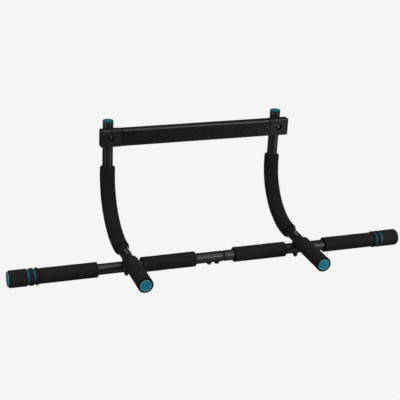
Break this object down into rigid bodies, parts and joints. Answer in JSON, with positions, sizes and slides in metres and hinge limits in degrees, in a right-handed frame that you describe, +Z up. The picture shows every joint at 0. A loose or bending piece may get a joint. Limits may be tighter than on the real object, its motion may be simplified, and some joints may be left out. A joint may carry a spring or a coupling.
{
  "type": "doorway pull up bar",
  "caption": "Over-door pull-up bar: a padded straight bar, bent arms with forward handles, and a crossbar that hooks over the door trim.",
  "frame": {"origin": "centre of the crossbar's underside, the flat strip that rests on the door's head trim", "axes": "+X along the main bar, +Y through the doorway away from the user, +Z up as the bar hangs in use"},
  "size_m": [0.952, 0.3502, 0.3098],
  "materials": {
    "painted_steel": "semi-gloss black powder coat",
    "grip_foam": "matt closed-cell foam with a fine skin",
    "pad_rubber": "matt moulded rubber",
    "dark_plastic": "fine-textured moulded plastic",
    "teal_plastic": "smooth moulded plastic",
    "black_zinc": "black zinc plating"
  },
  "bodies": {
    "root": {"main_tube_left": "painted_steel", "main_tube_right": "painted_steel", "joint_bolt_left": "black_zinc", "joint_bolt_right": "black_zinc", "joint_washer_left": "black_zinc", "joint_washer_right": "black_zinc", "joint_nut_left": "black_zinc", "joint_nut_right": "black_zinc", "inner_grip_left": "grip_foam", "inner_grip_right": "grip_foam", "outer_grip_left": "grip_foam", "outer_grip_right": "grip_foam", "end_bumper_left": "grip_foam", "end_bumper_right": "grip_foam", "accent_ring_inner_left": "teal_plastic", "accent_ring_inner_right": "teal_plastic", "accent_ring_outer_left": "teal_plastic", "accent_ring_outer_right": "teal_plastic", "bar_end_cap_left": "teal_plastic", "bar_end_cap_right": "teal_plastic", "arm_tube_left": "painted_steel", "arm_tube_right": "painted_steel", "arm_sleeve_left": "grip_foam", "arm_sleeve_right": "grip_foam", "handle_grip_left": "grip_foam", "handle_grip_right": "grip_foam", "handle_cap_left": "teal_plastic", "handle_cap_right": "teal_plastic", "arm_top_cap_left": "teal_plastic", "arm_top_cap_right": "teal_plastic", "arm_saddle_left": "dark_plastic", "arm_saddle_right": "dark_plastic", "arm_bolt_left": "black_zinc", "arm_bolt_right": "black_zinc", "arm_bolt_washer_left": "black_zinc", "arm_bolt_washer_right": "black_zinc", "arm_nut_washer_left": "black_zinc", "arm_nut_washer_right": "black_zinc", "arm_nut_left": "black_zinc", "arm_nut_right": "black_zinc", "crossbar_beam": "painted_steel", "crossbar_pad": "pad_rubber", "crossbar_end_left": "dark_plastic", "crossbar_end_right": "dark_plastic", "crossbar_bolt_left": "black_zinc", "crossbar_bolt_right": "black_zinc", "crossbar_washer_left": "black_zinc", "crossbar_washer_right": "black_zinc", "crossbar_nut_left": "black_zinc", "crossbar_nut_right": "black_zinc"}
  },
  "joints": []
}
